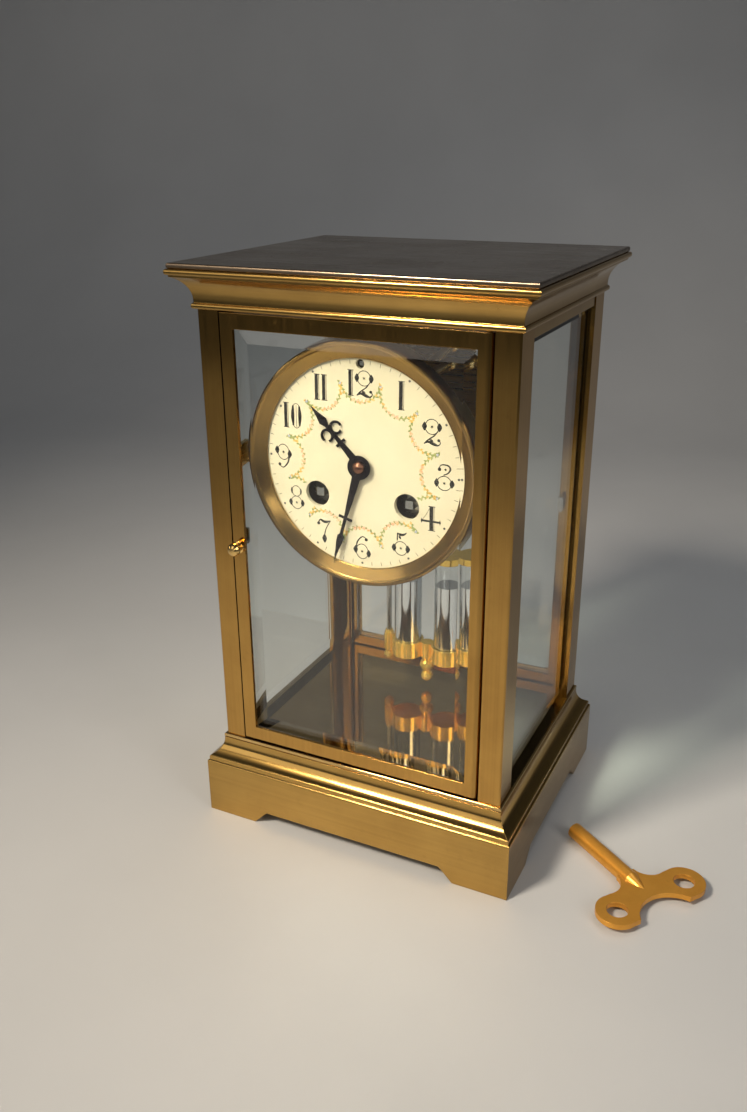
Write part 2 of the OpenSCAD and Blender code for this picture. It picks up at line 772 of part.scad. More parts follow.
module movement_pillars() color(brass) for (p = post_ps) at(p) turned() polygon([
    [0, plate_in], [2.6, plate_in], [2.6, plate_in + 2], [1.6, plate_in + 3.4], [2.1, -15],
    [1.6, back_plate_y - 3.4], [2.6, back_plate_y - 2], [2.6, back_plate_y], [0, back_plate_y]
]);

bracket_z = dial_z - 2.5;
bracket_half_h = 4.8;
pillar_screw_x = half_w - 7.8;
foot_y = -half_d + door_rebate + pillar_lip_t;
m2_r = 0.9;
plate_screw_x = 37.5;
cock_screw_x = 10;
cock_z = pivot_z + 4.6;

module bracket_screw_holes() {
    for (s = [-1, 1]) translate([s * pillar_screw_x, 0, bracket_z]) bar(m2_r, foot_y - 4, foot_y + 6);
}

module bracket_plate_holes() {
    for (s = [-1, 1]) translate([s * plate_screw_x, 0, bracket_z]) bar(m2_r, -42, plate_in + 1);
}

module cock_screw_holes() {
    for (s = [-1, 1]) translate([s * cock_screw_x, 0, cock_z]) bar(m2_r, back_plate_y + 0.4, 12);
}

module movement_brackets() color(dark_brass) difference() {
    for (s = [0, 1]) mirror([s, 0, 0]) translate([0, 0, bracket_z - bracket_half_h])
        linear_extrude(2 * bracket_half_h) polygon([
            [61.8, foot_y], [61.8, foot_y + 2], [57.4, foot_y + 2], [57.4, front_plate_y],
            [33.5, front_plate_y], [33.5, front_plate_y - 2], [55.4, front_plate_y - 2],
            [55.4, foot_y]
        ]);
    bracket_screw_holes();
    bracket_plate_holes();
}

module m2_screw(y_seat, length, dir) {
    translate([0, y_seat, 0]) rotate([dir > 0 ? -90 : 90, 0, 0]) {
        translate([0, 0, -length]) cylinder(r = m2_r, h = length + 0.1);
        cylinder(r = 1.6, h = 1.2);
    }
}

module movement_screws() color(steel) for (s = [-1, 1]) {
    translate([s * pillar_screw_x, 0, bracket_z]) m2_screw(foot_y + 2, 5.5, 1);
    translate([s * plate_screw_x, 0, bracket_z]) m2_screw(front_plate_y - 2, 3.8, -1);
    translate([s * cock_screw_x, 0, cock_z]) m2_screw(back_plate_y + plate_t + 2, 3.4, 1);
}

// ---- suspension and pendulum ----

module suspension_cock() color(dark_brass) difference() {
    union() {
        box(-13, 13, back_plate_y + plate_t, back_plate_y + plate_t + 2, cock_z - 2.2, cock_z + 2.2);
        box(-3.4, 3.4, back_plate_y + plate_t, pendulum_y + 4, cock_z - 1.2, cock_z + 2.2);
    }
    cock_screw_holes();
}

module suspension_spring() color(steel) translate([0, pendulum_y, 0]) {
    box(-1.8, 1.8, -2.2, 2.2, pivot_z + 1.2, cock_z - 1.2);
    box(-0.15, 0.15, -1.8, 1.8, pivot_z - 1.8, pivot_z + 1.3);
    translate([0, 0, pivot_z - 2.2]) bar(0.7, -2.8, 2.8);
}

module pallets_and_crutch() color(steel) at(pallet_p) {
    drop = pallet_p.y - escape_p.y;
    bar(0.8, front_plate_y, 12);
    plate(escape_y - 0.4, escape_y + 1.5) translate([0, -drop]) difference() {
        circle(escape_tip_r + 2.9);
        circle(escape_tip_r + 0.9);
        translate([-15, -30]) square([30, 33.5]);
    }
    bar(1.8, escape_y - 0.4, escape_y + 1.5);
    plate(10, 11.2) translate([-1.1, -34]) square([2.2, 34]);
    bar(1.9, 9.6, 11.6);
    for (s = [-1, 1]) box(s * 2.1 - 0.4, s * 2.1 + 0.4, 10.6, pendulum_y + 2, -34, -31);
    box(-2.5, 2.5, 10, 11.2, -34, -31);
}

module regulator_arbor() color(steel) at([0, rate_z]) {
    bar(1.2, -42, 10);
    translate([-0.85, -44.4, -0.85]) cube([1.7, 3, 1.7]);
}

module pendulum_rod() color(steel) translate([0, pendulum_y, 0]) {
    translate([0, 0, rods_top_z + 3.2]) cylinder(r = 1.25, h = pivot_z - 12.2 - rods_top_z);
    difference() {
        translate([-2.2, -2.2, pivot_z - 10]) cube([4.4, 4.4, 9.6]);
        translate([-1.1, -1.1 - 1.1, pivot_z - 6.6]) cube([2.2, 4.4, 8]);
        translate([0, 0, pivot_z - 2.2]) bar(1.05, -5, 5);
    }
}

module jar_plate_outline() {
    square([2 * rod_x, 3.2], center = true);
    circle(3.2);
    for (s = [-1, 1]) {
        translate([s * rod_x, 0]) circle(2.6);
        translate([s * jar_x, 0]) circle(jar_r + cup_wall);
    }
}

module pendulum_top_plate() color(brass) translate([0, pendulum_y, rods_top_z])
    linear_extrude(3.2) jar_plate_outline();

module pendulum_bottom_plate() color(brass) translate([0, pendulum_y, 0]) difference() {
    translate([0, 0, plate_bottom_z]) linear_extrude(plate_h) jar_plate_outline();
    for (s = [-1, 1]) translate([s * jar_x, 0, plate_bottom_z + 2]) cylinder(r = jar_r + run_gap, h = plate_h);
}

module pendulum_side_rods() color(steel) for (s = [-1, 1])
    translate([s * rod_x, pendulum_y, plate_bottom_z + plate_h])
        cylinder(r = 1.3, h = rods_top_z - plate_bottom_z - plate_h);

module mercury_jars() color(pane) for (s = [-1, 1])
    translate([s * jar_x, pendulum_y, plate_bottom_z + 2]) difference() {
        cylinder(r = jar_r, h = rods_top_z - plate_bottom_z - 2);
        translate([0, 0, 0.9]) cylinder(r = jar_r - 0.8, h = rods_top_z);
    }

module mercury() color(steel) for (s = [-1, 1])
    translate([s * jar_x, pendulum_y, plate_bottom_z + 2.9])
        cylinder(r = jar_r - 0.8, h = mercury_z - plate_bottom_z - 2.9);

module pendulum_nuts() color(brass) translate([0, pendulum_y, 0]) {
    for (s = [-1, 1]) translate([s * rod_x, 0, plate_bottom_z]) rotate_extrude() polygon([
        [0, 0], [1.6, 0], [1.4, -0.8], [2.4, -1.8], [2.8, -3.2], [2.4, -4.6], [1.2, -5.7], [0, -6]
    ]);
    for (s = [-1, 1]) translate([s * rod_x, 0, plate_bottom_z + plate_h]) rotate_extrude() polygon([
        [1.3 + run_gap, 0], [2.4, 0], [2.4, 1.4], [1.9, 2.1], [1.9, 2.8], [1.3 + run_gap, 2.8]
    ]);
    for (s = [-1, 1]) translate([s * rod_x, 0, rods_top_z + 3.2]) rotate_extrude() polygon([
        [0, 0], [2.4, 0], [2.4, 1.6], [1.4, 2.6], [0, 2.9]
    ]);
    translate([0, 0, plate_bottom_z]) rotate_extrude() polygon([
        [0, 0], [2.6, 0], [2.4, -1.9], [3.3, -2.9], [3.8, -4.5], [3.3, -6.1], [1.9, -7.3], [1.7, -8.1],
        [2.6, -9], [3.1, -10.4], [2.7, -12.1], [1.5, -13.4], [0, -13.9]
    ]);
}

// ---- winding key ----

module key_outline() {
    shoulder = 12.6;
    notch_r = 15.1;
    difference() {
        union() {
            for (s = [-1, 1]) translate([0, s * ear_out]) circle(ear_r);
            translate([0.1 - ear_r, -ear_out]) square([2 * ear_r - 0.2, 2 * ear_out]);
            translate([0, -shoulder]) square([16.4, 2 * shoulder]);
        }
        translate([-0.6 - notch_r, 0]) circle(notch_r);
        for (s = [-1, 1]) {
            translate([0, s * ear_out]) circle(ear_hole_r);
            translate([16.7, s * shoulder]) circle(8);
        }
    }
}

module winding_key() color("darkorange")
    translate([key_bow_x, key_bow_y, key_r]) rotate([0, 0, key_turn]) difference() {
        union() {
            translate([0, 0, -key_bow_t / 2]) linear_extrude(key_bow_t) key_outline();
            rotate([0, 90, 0]) rotate_extrude() polygon([
                [0, 4], [1, 4], [key_r, 12.5], [key_r, key_len], [0, key_len]
            ]);
        }
        translate([key_len - 14, -square_w / 2 - 0.1, -square_w / 2 - 0.1])
            cube([20, square_w + 0.2, square_w + 0.2]);
    }

base_plinth();
floor_plate();
case_screws();
pillar_front_left();
pillar_front_right();
pillar_rear_left();
pillar_rear_right();
side_glass_left();
side_glass_right();
cornice();
top_plate();
front_door_frame();
front_door_glass();
front_catch_knob();
front_catch_tongue();
rear_door_frame();
rear_door_glass();
rear_catch_knob();
rear_catch_tongue();
dial_bezel();
dial();
hour_hand();
minute_hand();
hand_collet();
movement_brackets();
movement_screws();
movement_front_plate();
movement_back_plate();
movement_pillars();
going_barrel();
going_arbor();
strike_barrel();
strike_arbor();
ratchet_clicks();
intermediate_wheel();
centre_wheel();
third_wheel();
escape_wheel();
cannon_pinion();
minute_wheel();
hour_wheel();
pallets_and_crutch();
strike_second_wheel();
pin_wheel();
warning_wheel();
fly();
hammer();
bell();
bell_stand();
suspension_cock();
suspension_spring();
regulator_arbor();
pendulum_rod();
pendulum_top_plate();
pendulum_side_rods();
mercury_jars();
mercury();
pendulum_bottom_plate();
pendulum_nuts();
winding_key();
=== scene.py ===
import math
import random

import bmesh
import bpy
from mathutils import Matrix, Vector


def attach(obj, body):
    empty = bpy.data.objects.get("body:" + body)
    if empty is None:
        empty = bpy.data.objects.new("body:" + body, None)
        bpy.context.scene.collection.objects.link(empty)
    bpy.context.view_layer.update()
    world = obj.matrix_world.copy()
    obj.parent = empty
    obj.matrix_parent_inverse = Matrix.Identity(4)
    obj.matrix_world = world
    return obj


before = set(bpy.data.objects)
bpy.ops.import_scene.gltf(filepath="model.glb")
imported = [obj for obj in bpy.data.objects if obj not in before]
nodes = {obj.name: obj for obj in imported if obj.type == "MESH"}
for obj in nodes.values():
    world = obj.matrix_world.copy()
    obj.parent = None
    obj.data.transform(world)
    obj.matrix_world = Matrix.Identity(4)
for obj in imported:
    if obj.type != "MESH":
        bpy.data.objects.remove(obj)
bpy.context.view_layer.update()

MM = 0.001
scene = bpy.context.scene

# Camera, solved from the case's corners in the photograph
CAMERA_PLACE_MM = (176.7, -395.1, 300.0)
CAMERA_AZ_EL_ROLL = (26.2275, 22.4675, -0.4557)


# ---------------------------------------------------------------- camera, light, floor

def look(az, el, roll):
    """Rotation of a camera that looks along azimuth az (0 is +Y) and down by el, in degrees."""
    az, el, roll = (math.radians(v) for v in (az, el, roll))
    back = Vector((math.sin(az) * math.cos(el), -math.cos(az) * math.cos(el), math.sin(el)))
    right = (-back).cross(Vector((0, 0, 1))).normalized()
    up = right.cross(-back)
    r = right * math.cos(roll) + up * math.sin(roll)
    u = up * math.cos(roll) - right * math.sin(roll)
    return Matrix((r, u, back)).transposed()


def make_camera():
    data = bpy.data.cameras.new("camera")
    data.lens = 32.91
    data.sensor_width = 36
    data.clip_start = 0.01
    data.clip_end = 50
    cam = bpy.data.objects.new("camera", data)
    cam.matrix_world = Matrix.Translation(Vector(CAMERA_PLACE_MM) * MM) @ look(*CAMERA_AZ_EL_ROLL).to_4x4()
    scene.collection.objects.link(cam)
    scene.camera = cam


def area_light(name, place, target, size, power, colour, spread=180):
    """Rectangular light at place, facing target; size in metres, power in watts, spread in degrees."""
    data = bpy.data.lights.new(name, "AREA")
    data.shape = "RECTANGLE"
    data.size, data.size_y = size
    data.energy = power
    data.color = colour
    data.spread = math.radians(spread)
    light = bpy.data.objects.new(name, data)
    light.location = place
    light.rotation_euler = (Vector(target) - Vector(place)).to_track_quat("-Z", "Y").to_euler()
    light.visible_camera = False
    scene.collection.objects.link(light)


# ---------------------------------------------------------------- materials

class Shader:
    """A material under construction; add() makes a node, sets its inputs and returns it."""

    def __init__(self, name):
        self.mat = bpy.data.materials.new(name)
        self.mat.use_nodes = True
        self.tree = self.mat.node_tree
        self.tree.nodes.clear()
        self.coords = self.add("TexCoord").outputs["Object"]

    def add(self, kind, inputs=None, **props):
        node = self.tree.nodes.new("ShaderNode" + kind)
        for key, value in props.items():
            setattr(node, key, value)
        for key, value in (inputs or {}).items():
            if isinstance(value, bpy.types.NodeSocket):
                self.tree.links.new(value, node.inputs[key])
            else:
                node.inputs[key].default_value = value
        return node

    def noise(self, scale, detail=2.0, rough=0.5, stretch=(1, 1, 1), shift=(0, 0, 0), vector=None):
        mapped = self.add("Mapping", {"Vector": vector or self.coords, "Scale": stretch, "Location": shift})
        return self.add("TexNoise", {"Vector": mapped.outputs[0], "Scale": scale, "Detail": detail,
                                     "Roughness": rough}).outputs["Fac"]

    def spread(self, value, low, high, to_low=0.0, to_high=1.0):
        return self.add("MapRange", {"Value": value, "From Min": low, "From Max": high, "To Min": to_low,
                                     "To Max": to_high}).outputs[0]

    def maths(self, kind, a, b):
        return self.add("Math", {0: a, 1: b}, operation=kind).outputs[0]

    def blend(self, fac, a, b):
        node = self.add("Mix", {0: fac}, data_type="RGBA")
        for key, value in ((6, a), (7, b)):
            if isinstance(value, bpy.types.NodeSocket):
                self.tree.links.new(value, node.inputs[key])
            else:
                node.inputs[key].default_value = (*value, 1)
        return node.outputs[2]

    def normal(self, height, distance, radius=0.0):
        inputs = {"Height": height, "Distance": distance, "Strength": 1.0}
        if radius:
            inputs["Normal"] = self.add("Bevel", {"Radius": radius}, samples=4).outputs[0]
        return self.add("Bump", inputs).outputs[0]

    def principled(self, inputs):
        return self.add("BsdfPrincipled", inputs).outputs[0]

    def finish(self, surface):
        self.add("OutputMaterial", {"Surface": surface})
        return self.mat


def around(sh, centre):
    """Coordinates (radius, depth, 0) round an axis along Y through centre (x, z), in metres."""
    split = sh.add("SeparateXYZ", {"Vector": sh.coords})
    dx = sh.maths("SUBTRACT", split.outputs["X"], centre[0])
    dz = sh.maths("SUBTRACT", split.outputs["Z"], centre[1])
    r = sh.maths("SQRT", sh.maths("ADD", sh.maths("MULTIPLY", dx, dx), sh.maths("MULTIPLY", dz, dz)), 0.0)
    return sh.add("CombineXYZ", {"X": r, "Y": split.outputs["Y"], "Z": 0.0}).outputs[0]


LINES = {
    "level": (6, 6, 900),
    "upright": (900, 900, 6),
    "across": (10, 700, 10),
    "round": (900, 900, 1),
    "plain": (160, 160, 160),
}


def metal(name, bright, dull, rough, lines, edge=0.0003, wear=0.5, grain=0.000004, centre=None, metallic=1.0):
    """Polished or satin metal: broad patina, polishing lines, pin-point tarnish and soft edges."""
    sh = Shader(name)
    base = around(sh, centre) if centre else sh.coords
    streak = sh.noise(1.0, 3.0, 0.6, stretch=LINES[lines], vector=base)
    cloud = sh.noise(26.0, 4.0, 0.62, shift=(3.1, 1.7, 0.4))
    fine = sh.noise(420.0, 2.0, 0.6)
    spots = sh.spread(sh.noise(210.0, 5.0, 0.75, shift=(0.7, 2.3, 5.1)), 0.60, 0.74)
    age = sh.maths("MULTIPLY", sh.spread(cloud, 0.30, 0.72), wear)
    tone = sh.maths("ADD", age, sh.spread(streak, 0.35, 0.65, -0.10, 0.10))
    tone = sh.add("Clamp", {"Value": tone}).outputs[0]
    colour = sh.blend(tone, bright, dull)
    dark = tuple(0.45 * c for c in dull)
    colour = sh.blend(sh.maths("MULTIPLY", spots, 0.35 * wear), colour, dark)
    ruff = sh.maths("ADD", sh.spread(streak, 0.3, 0.7, rough * 0.75, rough * 1.25),
                    sh.maths("ADD", sh.maths("MULTIPLY", age, rough * 0.5), sh.maths("MULTIPLY", spots, 0.12)))
    height = sh.maths("ADD", streak, sh.maths("MULTIPLY", fine, 0.5))
    return sh.finish(sh.principled({
        "Base Color": colour, "Metallic": metallic, "Roughness": ruff,
        "Normal": sh.normal(height, grain, edge)}))


def glass(name, tint, through, edge=0.0):
    """Clear old glass with a faint waviness and dust; shadow rays pass straight through."""
    sh = Shader(name)
    wave = sh.noise(38.0, 1.0, 0.4, shift=(1.3, 0.2, 2.2))
    dust = sh.spread(sh.noise(900.0, 3.0, 0.7), 0.64, 0.80)
    smear = sh.spread(sh.noise(30.0, 4.0, 0.6, stretch=(1, 1, 0.5)), 0.50, 0.75)
    colour = sh.blend(smear, tint, tuple(0.97 * c for c in tint))
    ruff = sh.maths("ADD", sh.maths("MULTIPLY", smear, 0.012), sh.maths("MULTIPLY", dust, 0.05))
    body = sh.principled({"Base Color": colour, "Roughness": ruff, "IOR": 1.5, "Transmission Weight": 1.0,
                          "Normal": sh.normal(wave, 0.000006, edge)})
    clear = sh.add("BsdfTransparent", {"Color": (*through, 1)}).outputs[0]
    shadow = sh.add("LightPath").outputs["Is Shadow Ray"]
    return sh.finish(sh.add("MixShader", {0: shadow, 1: body, 2: clear}).outputs[0])


def enamel(name):
    """White vitreous enamel, yellowed a little in clouds, with a glossy coat."""
    sh = Shader(name)
    cloud = sh.noise(34.0, 3.0, 0.55)
    ripple = sh.noise(75.0, 2.0, 0.5, shift=(2.0, 0.3, 0.9))
    speck = sh.spread(sh.noise(1300.0, 2.0, 0.5), 0.68, 0.76)
    colour = sh.blend(sh.spread(cloud, 0.3, 0.7), (0.60, 0.535, 0.40), (0.56, 0.49, 0.35))
    colour = sh.blend(sh.maths("MULTIPLY", speck, 0.25), colour, (0.45, 0.36, 0.24))
    return sh.finish(sh.principled({
        "Base Color": colour, "Roughness": sh.spread(cloud, 0.3, 0.7, 0.12, 0.22), "Coat Weight": 0.5,
        "Coat Roughness": 0.05, "Normal": sh.normal(ripple, 0.00002, 0.0003)}))


def paint(name, one, two, rough=0.3):
    """Fired colour on the dial, uneven as brushed or printed enamel is."""
    sh = Shader(name)
    mottle = sh.noise(1500.0, 3.0, 0.6)
    colour = sh.blend(sh.spread(mottle, 0.35, 0.65), one, two)
    return sh.finish(sh.principled({
        "Base Color": colour, "Roughness": sh.spread(mottle, 0.3, 0.7, rough * 0.8, rough * 1.2),
        "Normal": sh.normal(mottle, 0.000004)}))


def stage_paint(name, one, two):
    """Matt paint of the floor and backdrop."""
    sh = Shader(name)
    cloud = sh.noise(5.0, 4.0, 0.5)
    tooth = sh.noise(900.0, 2.0, 0.5)
    return sh.finish(sh.principled({
        "Base Color": sh.blend(sh.spread(cloud, 0.35, 0.65), one, two),
        "Roughness": sh.spread(cloud, 0.3, 0.7, 0.42, 0.52), "Normal": sh.normal(tooth, 0.00001)}))


GOLD = (0.50, 0.315, 0.095)
OLD_GOLD = (0.29, 0.165, 0.045)
DIAL_AXIS = (0.0, 0.1775)   # x, z of the dial's centre in metres

M = {
    "level": metal("case_brass_level", GOLD, OLD_GOLD, 0.145, "level"),
    "upright": metal("case_brass_upright", (0.52, 0.305, 0.085), (0.29, 0.15, 0.04), 0.12, "upright"),
    "floor": metal("floor_brass", (0.62, 0.42, 0.17), (0.42, 0.27, 0.10), 0.045, "across", grain=0.0000012),
    # top plate: darker, greyer brass than the rest of the case, a painted dark reflection of the room above; its
    # heavy patina clouds are real wear
    "top": metal("top_brass", (0.28, 0.215, 0.15), (0.16, 0.12, 0.085), 0.20, "across", wear=0.9),
    "turned": metal("bezel_brass", (0.50, 0.305, 0.095), (0.30, 0.17, 0.05), 0.14, "round", centre=DIAL_AXIS),
    "knob": metal("knob_brass", (0.88, 0.60, 0.22), (0.62, 0.38, 0.12), 0.14, "plain", edge=0.00015),
    "works": metal("movement_brass", (0.80, 0.60, 0.28), (0.62, 0.43, 0.17), 0.26, "level", edge=0.0001),
    # movement front plate: brass painted almost black as painted shade, so that the winding holes look dark inside
    "dark": metal("painted_shade_brass", (0.13, 0.095, 0.045), (0.05, 0.036, 0.018), 0.34, "level", edge=0.0001),
    "wheel": metal("wheel_brass", (0.84, 0.64, 0.30), (0.66, 0.46, 0.18), 0.22, "plain", edge=0.00006),
    "bell": metal("bell_metal", (0.76, 0.61, 0.34), (0.58, 0.43, 0.20), 0.20, "round", centre=DIAL_AXIS),
    "gilt": metal("pendulum_brass", (1.0, 0.66, 0.13), (0.88, 0.50, 0.08), 0.16, "upright", edge=0.00025, wear=0.25,
                  metallic=0.74),
    "key": metal("key_brass", (0.86, 0.43, 0.07), (0.62, 0.27, 0.035), 0.30, "plain", edge=0.0003, wear=0.8,
                 grain=0.00001, metallic=0.65),
    "steel": metal("steel", (0.60, 0.59, 0.57), (0.40, 0.39, 0.38), 0.20, "plain", edge=0.0001),
    "blued": metal("blued_steel", (0.030, 0.022, 0.024), (0.012, 0.011, 0.018), 0.24, "plain", edge=0.00008,
                   metallic=0.85),
    "bronze": metal("collet_bronze", (0.36, 0.17, 0.11), (0.16, 0.07, 0.045), 0.20, "round", edge=0.0001,
                    centre=DIAL_AXIS),
    "mercury": metal("mercury", (0.88, 0.88, 0.90), (0.74, 0.74, 0.77), 0.07, "upright", edge=0.0, wear=0.3,
                     grain=0.000002),
    "pane": glass("pane_glass", (0.955, 0.985, 0.975), (0.90, 0.945, 0.93)),
    "jar": glass("jar_glass", (0.97, 0.98, 0.98), (0.93, 0.94, 0.94)),
    "enamel": enamel("dial_enamel"),
    "black": paint("dial_black", (0.010, 0.009, 0.009), (0.022, 0.019, 0.018)),
}

DRESS = {
    "level": ["base_plinth", "cornice"],
    "upright": ["pillar_front_left", "pillar_front_right", "pillar_rear_left", "pillar_rear_right",
                "front_door_frame", "rear_door_frame"],
    "floor": ["floor_plate"],
    # the top plate takes the brass with the painted dark reflection
    "top": ["top_plate"],
    "turned": ["dial_bezel"],
    "knob": ["front_catch_knob", "rear_catch_knob"],
    # the movement front plate takes the painted-shade brass
    "dark": ["movement_front_plate"],
    "works": ["movement_brackets", "movement_back_plate", "movement_pillars",
              "suspension_cock", "bell_stand", "going_barrel", "strike_barrel"],
    "wheel": ["intermediate_wheel", "centre_wheel", "third_wheel", "escape_wheel", "minute_wheel", "hour_wheel",
              "strike_second_wheel", "pin_wheel", "warning_wheel", "fly"],
    "bell": ["bell"],
    "gilt": ["pendulum_top_plate", "pendulum_bottom_plate", "pendulum_nuts"],
    "key": ["winding_key"],
    "steel": ["case_screws", "movement_screws", "front_catch_tongue", "rear_catch_tongue", "ratchet_clicks",
              "going_arbor", "strike_arbor", "cannon_pinion", "regulator_arbor", "hammer", "pallets_and_crutch",
              "suspension_spring", "pendulum_rod", "pendulum_side_rods"],
    "blued": ["hour_hand", "minute_hand"],
    "bronze": ["hand_collet"],
    "mercury": ["mercury"],
    "pane": ["side_glass_left", "side_glass_right", "front_door_glass", "rear_door_glass"],
    "jar": ["mercury_jars"],
    "enamel": ["dial"],
}


def dress():
    """Give every CAD node its material."""
    for key, names in DRESS.items():
        for name in names:
            mesh = nodes[name].data
            mesh.materials.clear()
            mesh.materials.append(M[key])


# ---------------------------------------------------------------- dial painting

# The dial's shape in mm, as in part.scad
DIAL_Z = 177.5
DIAL_FRONT = -45.6
DIAL_DOME = 0.6
DIAL_RIM = 45.3
DIAL_BANDS = 4


def dial_surface(x, z):
    """Depth of the enamel's front at x, z from the dial centre, in mm; it falls away in flat bands."""
    t = min(math.hypot(x, z) / DIAL_RIM, 1.0) * DIAL_BANDS
    i = min(int(t), DIAL_BANDS - 1)
    dome = [DIAL_DOME * (1 - (k / DIAL_BANDS) ** 2) for k in range(DIAL_BANDS + 1)]
    return DIAL_FRONT - (dome[i] + (dome[i + 1] - dome[i]) * (t - i))


SINK = 0.01   # mm that painted shapes reach into the enamel


class Ink:
    """Thin raised shapes on the dial, drawn in mm from its centre, gathered into one piece."""

    def __init__(self, name, material, lift):
        self.name, self.material, self.lift = name, material, lift
        self.verts, self.faces = [], []

    def quad_strip(self, left, right):
        """A closed thin strip between two equally long lines of points, its back just inside the enamel."""
        n = len(left)
        start = len(self.verts)
        for lift in (self.lift, -SINK):
            for side in (left, right):
                for x, z in side:
                    self.verts.append((x * MM, (dial_surface(x, z) - lift) * MM, (z + DIAL_Z) * MM))
        a, b, c, d = (start + k * n for k in range(4))
        for i in range(n - 1):
            self.faces.append((a + i, a + i + 1, b + i + 1, b + i))
            self.faces.append((c + i + 1, c + i, d + i, d + i + 1))
            self.faces.append((a + i + 1, a + i, c + i, c + i + 1))
            self.faces.append((b + i, b + i + 1, d + i + 1, d + i))
        self.faces.append((a, b, d, c))
        self.faces.append((b + n - 1, a + n - 1, c + n - 1, d + n - 1))

    def stroke(self, points, steps=6):
        """A brush stroke through (x, z, width) points, smoothed."""
        path = smooth(points, steps)
        left, right = [], []
        for i, (x, z, w) in enumerate(path):
            x0, z0, _ = path[max(i - 1, 0)]
            x1, z1, _ = path[min(i + 1, len(path) - 1)]
            dx, dz = x1 - x0, z1 - z0
            size = math.hypot(dx, dz) or 1.0
            nx, nz = -dz / size * w / 2, dx / size * w / 2
            left.append((x + nx, z + nz))
            right.append((x - nx, z - nz))
        self.quad_strip(left, right)

    def ring(self, cx, cz, rx, rz, w, count=28):
        """An oval ring of line width w."""
        lines = []
        for k in (1, -1):
            turns = [2 * math.pi * i / count for i in range(count + 1)]
            lines.append([(cx + (rx + k * w / 2) * math.cos(a), cz + (rz + k * w / 2) * math.sin(a))
                          for a in turns])
        self.quad_strip(*lines)

    def leaf(self, cx, cz, w, h, turn=0.0, steps=6):
        """A pointed oval, long way along h."""
        ct, st = math.cos(turn), math.sin(turn)
        left, right = [], []
        for i in range(steps + 1):
            t = -1 + 2 * i / steps
            half = w / 2 * (1 - abs(t) ** 1.5) + 0.01
            pz = t * h / 2
            left.append((cx - half * ct - pz * st, cz - half * st + pz * ct))
            right.append((cx + half * ct - pz * st, cz + half * st + pz * ct))
        self.quad_strip(left, right)

    def dot(self, cx, cz, r, steps=5):
        """A round dot of radius r."""
        left, right = [], []
        for i in range(steps + 1):
            a = math.pi * i / steps
            pz, half = -r * math.cos(a), r * math.sin(a) + 0.004
            left.append((cx - half, cz + pz))
            right.append((cx + half, cz + pz))
        self.quad_strip(left, right)

    def place(self):
        """Make the mesh and fix it to the case."""
        mesh = bpy.data.meshes.new(self.name)
        mesh.from_pydata(self.verts, [], self.faces)
        bm = bmesh.new()
        bm.from_mesh(mesh)
        bmesh.ops.recalc_face_normals(bm, faces=bm.faces)
        bm.to_mesh(mesh)
        bm.free()
        mesh.materials.append(self.material)
        piece = bpy.data.objects.new(self.name, mesh)
        scene.collection.objects.link(piece)
        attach(piece, "case")


def smooth(points, steps):
    """Catmull-Rom points through a list of tuples."""
    if len(points) < 3:
        return points
    out = []
    pts = [points[0]] + list(points) + [points[-1]]
    for i in range(1, len(pts) - 2):
        p0, p1, p2, p3 = pts[i - 1:i + 3]
        for s in range(steps):
            t = s / steps
            out.append(tuple(0.5 * (2 * b + (c - a) * t + (2 * a - 5 * b + 4 * c - d) * t * t
                                    + (3 * b - a - 3 * c + d) * t ** 3)
                             for a, b, c, d in zip(p0, p1, p2, p3)))
    out.append(points[-1])
    return out


def bar_one(ink, x, z, h=10.2, w=1.45):
    """Upright bar with a hair line beside it and small serifs."""
    ink.stroke([(x - 0.2, z - h / 2, w), (x - 0.2, z + h / 2, w)])
    ink.stroke([(x + w / 2 + 0.2, z - h / 2, 0.24), (x + w / 2 + 0.2, z + h / 2, 0.24)])
    for s in (-1, 1):
        ink.stroke([(x - 1.35, z + s * h / 2, 0.28), (x + 1.4, z + s * h / 2, 0.28)])


def bowl(ink, x, z, rx, rz, w=2.1, h=3.6, skew=0.0):
    """Thin ring with a pointed leaf on each side and a small star inside."""
    ink.ring(x, z, rx, rz, 0.30)
    for s in (-1, 1):
        ink.leaf(x + s * (rx + 0.25), z - s * skew, w, h)
    for a in (0, 1, 2):
        ink.leaf(x, z, 0.34, 1.5, a * math.pi / 3)


